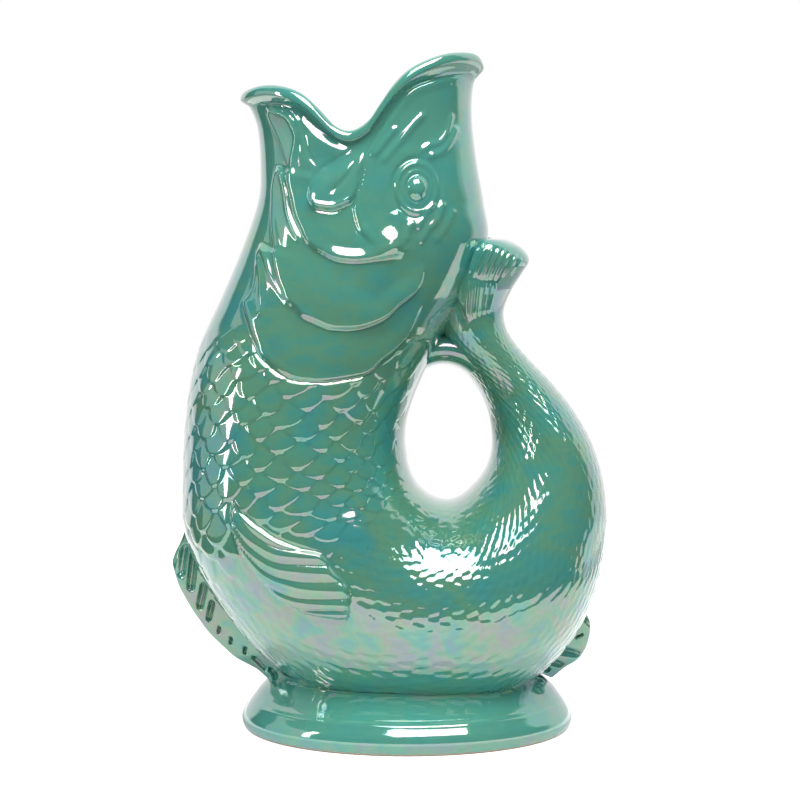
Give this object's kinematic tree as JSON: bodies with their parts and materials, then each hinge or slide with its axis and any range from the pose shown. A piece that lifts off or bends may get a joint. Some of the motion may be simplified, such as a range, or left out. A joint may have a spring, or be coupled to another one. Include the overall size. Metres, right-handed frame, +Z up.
{
  "type": "gurgle jug",
  "caption": "Hollow glazed earthenware pouring jug shaped as a leaping fish, with an open mouth, a hollow upturned tail that makes the finger loop, and an oval foot.",
  "frame": {"origin": "on the table under the middle of the jug's length", "axes": "+X from the spout to the tail, +Y across (the fish's right), +Z up"},
  "size_m": [0.1815, 0.1184, 0.2801],
  "materials": {
    "lustre_glaze": "glossy sea-green lustre glaze"
  },
  "bodies": {
    "root": {"mouth_rim": "lustre_glaze", "head": "lustre_glaze", "trunk": "lustre_glaze", "tail": "lustre_glaze", "tail_fin": "lustre_glaze", "foot": "lustre_glaze", "belly_fin": "lustre_glaze", "rear_fin": "lustre_glaze", "left_jaw": "lustre_glaze", "right_jaw": "lustre_glaze", "left_mouth_fold": "lustre_glaze", "right_mouth_fold": "lustre_glaze", "left_gill_cover": "lustre_glaze", "right_gill_cover": "lustre_glaze", "left_gill_collar": "lustre_glaze", "right_gill_collar": "lustre_glaze", "left_eye_socket": "lustre_glaze", "right_eye_socket": "lustre_glaze", "left_eye": "lustre_glaze", "right_eye": "lustre_glaze", "left_side_fin": "lustre_glaze", "right_side_fin": "lustre_glaze"}
  },
  "joints": []
}
